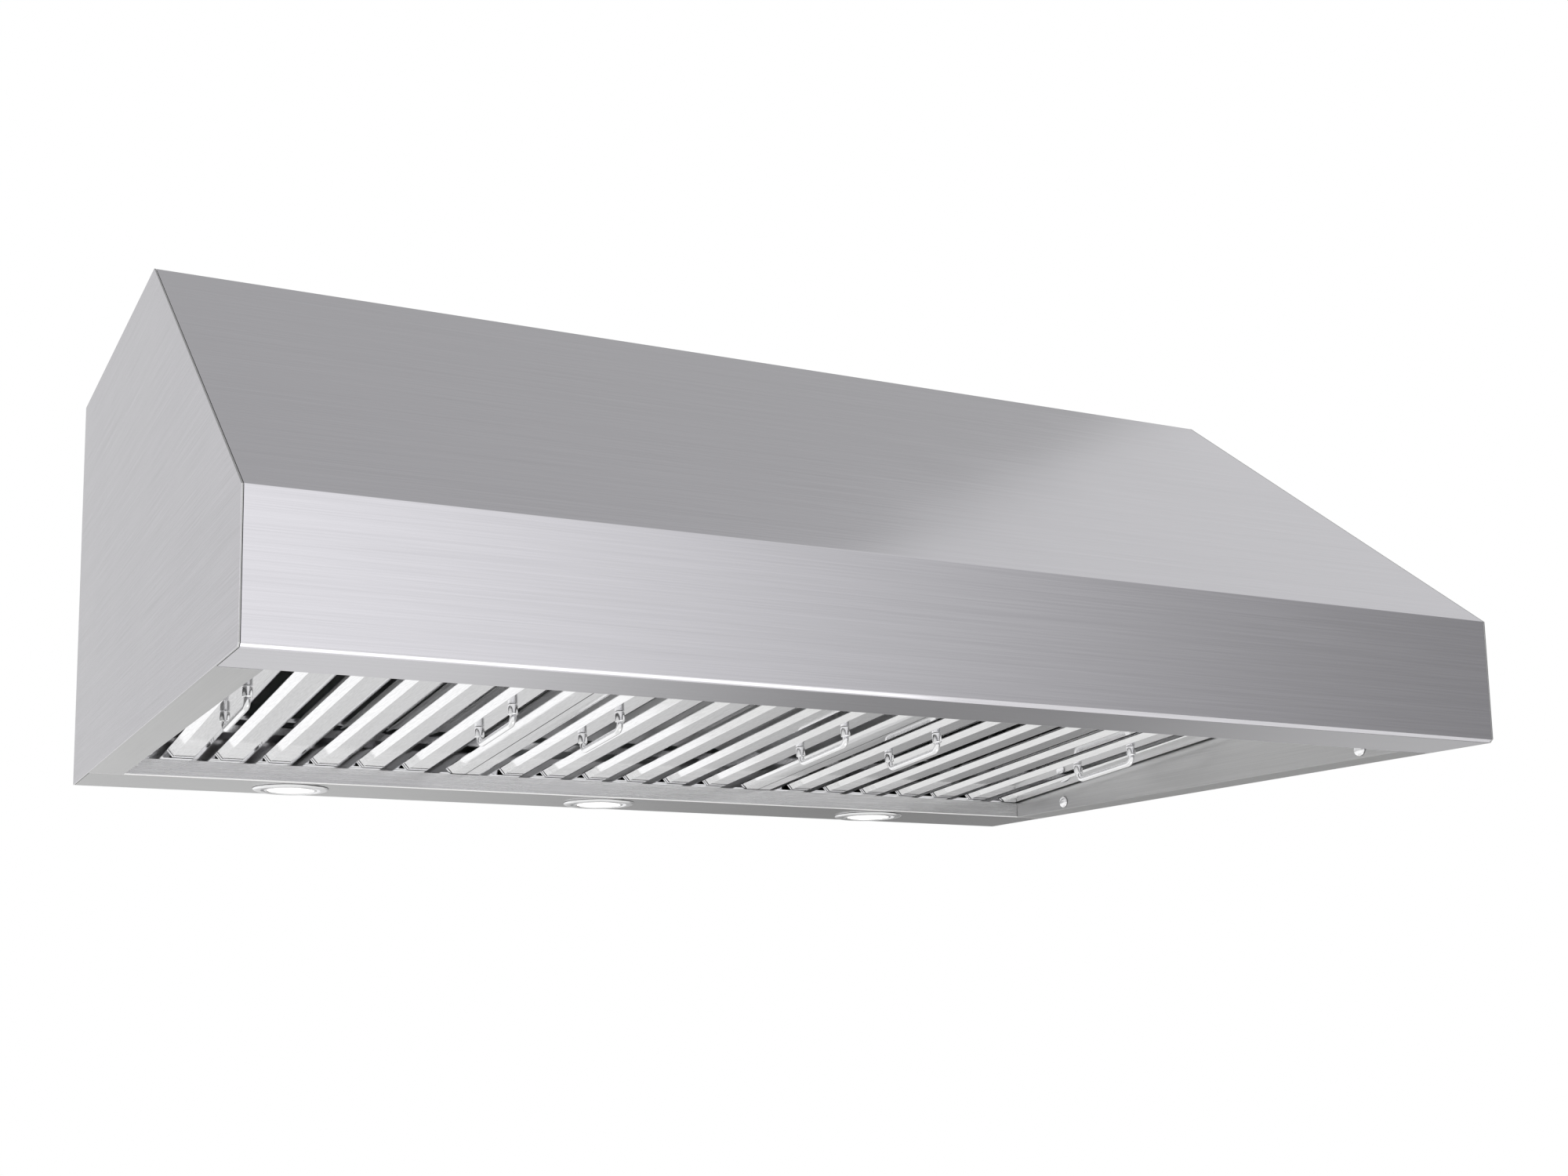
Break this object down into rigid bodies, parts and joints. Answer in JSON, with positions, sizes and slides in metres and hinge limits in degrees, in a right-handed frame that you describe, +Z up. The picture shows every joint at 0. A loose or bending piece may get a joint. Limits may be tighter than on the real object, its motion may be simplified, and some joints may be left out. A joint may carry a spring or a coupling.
{
  "type": "under cabinet range hood",
  "caption": "Under cabinet range hood: folded brushed-steel canopy with a sloped front, lift-in baffle filters with wire handles, rear lamps, blower and duct damper.",
  "frame": {"origin": "middle of the footprint at the height of the lamp faces, the lowest points", "axes": "+X to the right along the width as the cook sees it, +Y towards the wall, +Z up"},
  "size_m": [0.914, 0.61, 0.3595],
  "materials": {
    "brushed_stainless": "brushed, grain along the length of each panel",
    "polished_stainless": "bright, lightly polished",
    "bright_wire": "polished",
    "galvanised_steel": "hot-dip zinc, dull spangle",
    "die_cast_aluminium": "satin",
    "lamp_glass": "frosted",
    "black_plastic": "fine texture",
    "black_rubber": "matte",
    "circuit_board": "solder mask"
  },
  "bodies": {
    "canopy": {"front_canopy": "brushed_stainless", "left_side_panel": "brushed_stainless", "right_side_panel": "brushed_stainless", "back_panel": "galvanised_steel", "top_panel": "galvanised_steel", "rear_deck": "brushed_stainless", "wall_screw_left_front": "bright_wire", "wall_screw_left_rear": "bright_wire", "wall_screw_right_front": "bright_wire", "wall_screw_right_rear": "bright_wire", "filter_1_clip": "bright_wire", "filter_2_clip": "bright_wire", "filter_3_clip": "bright_wire", "lamp_1_trim": "bright_wire", "lamp_1_lens": "lamp_glass", "lamp_1_body": "die_cast_aluminium", "lamp_2_trim": "bright_wire", "lamp_2_lens": "lamp_glass", "lamp_2_body": "die_cast_aluminium", "lamp_3_trim": "bright_wire", "lamp_3_lens": "lamp_glass", "lamp_3_body": "die_cast_aluminium", "blower_housing": "galvanised_steel", "blower_motor": "black_plastic", "motor_bracket": "galvanised_steel", "inlet_ring_left": "black_plastic", "inlet_ring_right": "black_plastic", "duct_collar": "galvanised_steel", "damper_pin": "bright_wire", "junction_box": "galvanised_steel", "junction_box_cover": "galvanised_steel", "cable_grommet": "black_rubber", "lamp_driver": "black_plastic", "run_capacitor": "black_plastic", "control_strip": "black_plastic", "control_board": "circuit_board"},
    "filter_1": {"filter_1_frame": "polished_stainless", "filter_1_lower_baffles": "polished_stainless", "filter_1_upper_baffles": "polished_stainless", "filter_1_handle_left": "bright_wire", "filter_1_handle_right": "bright_wire"},
    "filter_2": {"filter_2_frame": "polished_stainless", "filter_2_lower_baffles": "polished_stainless", "filter_2_upper_baffles": "polished_stainless", "filter_2_handle_left": "bright_wire", "filter_2_handle_right": "bright_wire"},
    "filter_3": {"filter_3_frame": "polished_stainless", "filter_3_lower_baffles": "polished_stainless", "filter_3_upper_baffles": "polished_stainless", "filter_3_handle_left": "bright_wire", "filter_3_handle_right": "bright_wire"},
    "blower_wheel": {"blower_wheel": "die_cast_aluminium", "motor_shaft": "bright_wire"},
    "damper_flap_front": {"damper_flap_front": "die_cast_aluminium"},
    "damper_flap_rear": {"damper_flap_rear": "die_cast_aluminium"},
    "button_1": {"button_1": "bright_wire"},
    "button_2": {"button_2": "bright_wire"},
    "button_3": {"button_3": "bright_wire"},
    "button_4": {"button_4": "bright_wire"}
  },
  "joints": [
    {"name": "filter_1_swing", "type": "hinge", "parent": "canopy", "child": "filter_1", "pos_m": [-0.28393, 0.225, 0.016], "axis": [1, 0, 0], "range_deg": [0, 45], "deforming": ["filter_1_clip"]},
    {"name": "filter_2_swing", "type": "hinge", "parent": "canopy", "child": "filter_2", "pos_m": [0, 0.225, 0.016], "axis": [1, 0, 0], "range_deg": [0, 45], "deforming": ["filter_2_clip"]},
    {"name": "filter_3_swing", "type": "hinge", "parent": "canopy", "child": "filter_3", "pos_m": [0.28393, 0.225, 0.016], "axis": [1, 0, 0], "range_deg": [0, 45], "deforming": ["filter_3_clip"]},
    {"name": "blower_spin", "type": "hinge", "parent": "canopy", "child": "blower_wheel", "pos_m": [0, 0.115, 0.19], "axis": [1, 0, 0], "continuous": true},
    {"name": "damper_front_open", "type": "hinge", "parent": "canopy", "child": "damper_flap_front", "pos_m": [0, 0.175, 0.336], "axis": [-1, 0, 0], "range_deg": [0, 78]},
    {"name": "damper_rear_open", "type": "hinge", "parent": "canopy", "child": "damper_flap_rear", "pos_m": [0, 0.175, 0.336], "axis": [1, 0, 0], "range_deg": [0, 78]},
    {"name": "button_1_press", "type": "slide", "parent": "canopy", "child": "button_1", "axis": [0, -1, 0], "range_m": [0, 0.0015], "stiffness_N_per_m": 700, "springref_m": -0.0005},
    {"name": "button_2_press", "type": "slide", "parent": "canopy", "child": "button_2", "axis": [0, -1, 0], "range_m": [0, 0.0015], "stiffness_N_per_m": 700, "springref_m": -0.0005},
    {"name": "button_3_press", "type": "slide", "parent": "canopy", "child": "button_3", "axis": [0, -1, 0], "range_m": [0, 0.0015], "stiffness_N_per_m": 700, "springref_m": -0.0005},
    {"name": "button_4_press", "type": "slide", "parent": "canopy", "child": "button_4", "axis": [0, -1, 0], "range_m": [0, 0.0015], "stiffness_N_per_m": 700, "springref_m": -0.0005}
  ]
}
